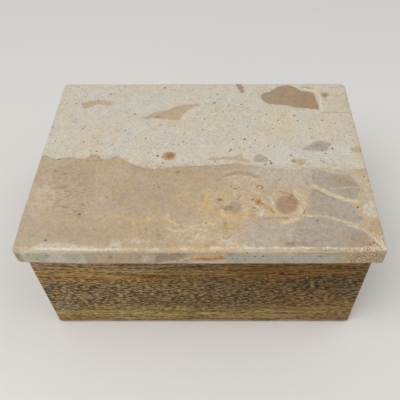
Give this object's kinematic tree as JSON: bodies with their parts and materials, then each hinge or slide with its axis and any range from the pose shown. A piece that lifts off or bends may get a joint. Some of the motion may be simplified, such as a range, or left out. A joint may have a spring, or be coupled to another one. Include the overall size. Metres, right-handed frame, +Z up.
{
  "type": "arrowhead display box",
  "caption": "Rectangular mitred wooden box with a thick overhanging lift-off slab lid of veined breccia stone, lined inside with felt and a removable velvet display pad.",
  "frame": {"origin": "on the table, under the middle of the box", "axes": "+X along the box's length to the right, +Y to the back, +Z up"},
  "size_m": [0.254, 0.184, 0.1135],
  "materials": {
    "lid_stone": "honed and waxed breccia, cream ground with tan, brown and grey clasts and rust veins",
    "box_wood": "oiled open-pored hardwood with dark pore dashes and golden streaks",
    "plain_wood": "plain sanded hardwood and plywood, no finish",
    "hardboard": "brown pressed hardboard, smooth",
    "lining_felt": "brown wool felt",
    "foot_felt": "dense dark brown felt",
    "pad_foam": "cream open-cell foam",
    "pad_velvet": "short-pile brown velvet",
    "pull_ribbon": "ribbed grosgrain ribbon, tan"
  },
  "bodies": {
    "box": {"front_board": "box_wood", "back_board": "box_wood", "left_end_board": "box_wood", "right_end_board": "box_wood", "mitre_spline_front_left": "plain_wood", "mitre_spline_front_right": "plain_wood", "mitre_spline_back_left": "plain_wood", "mitre_spline_back_right": "plain_wood", "bottom_panel": "plain_wood", "foot_pad_front_left": "foot_felt", "foot_pad_front_right": "foot_felt", "foot_pad_back_left": "foot_felt", "foot_pad_back_right": "foot_felt", "front_lining": "lining_felt", "back_lining": "lining_felt", "left_lining": "lining_felt", "right_lining": "lining_felt"},
    "lid": {"lid_slab": "lid_stone", "lid_locating_panel": "plain_wood", "lid_felt": "lining_felt"},
    "display_pad": {"pad_board": "hardboard", "pad_foam": "pad_foam", "pad_cover": "pad_velvet", "pull_ribbon_left": "pull_ribbon", "pull_ribbon_right": "pull_ribbon"}
  },
  "joints": [
    {"name": "lid_lift", "type": "slide", "parent": "box", "child": "lid", "axis": [0, 0, 1], "range_m": [0, 0.16]},
    {"name": "pad_lift", "type": "slide", "parent": "box", "child": "display_pad", "axis": [0, 0, 1], "range_m": [0, 0.05]}
  ]
}
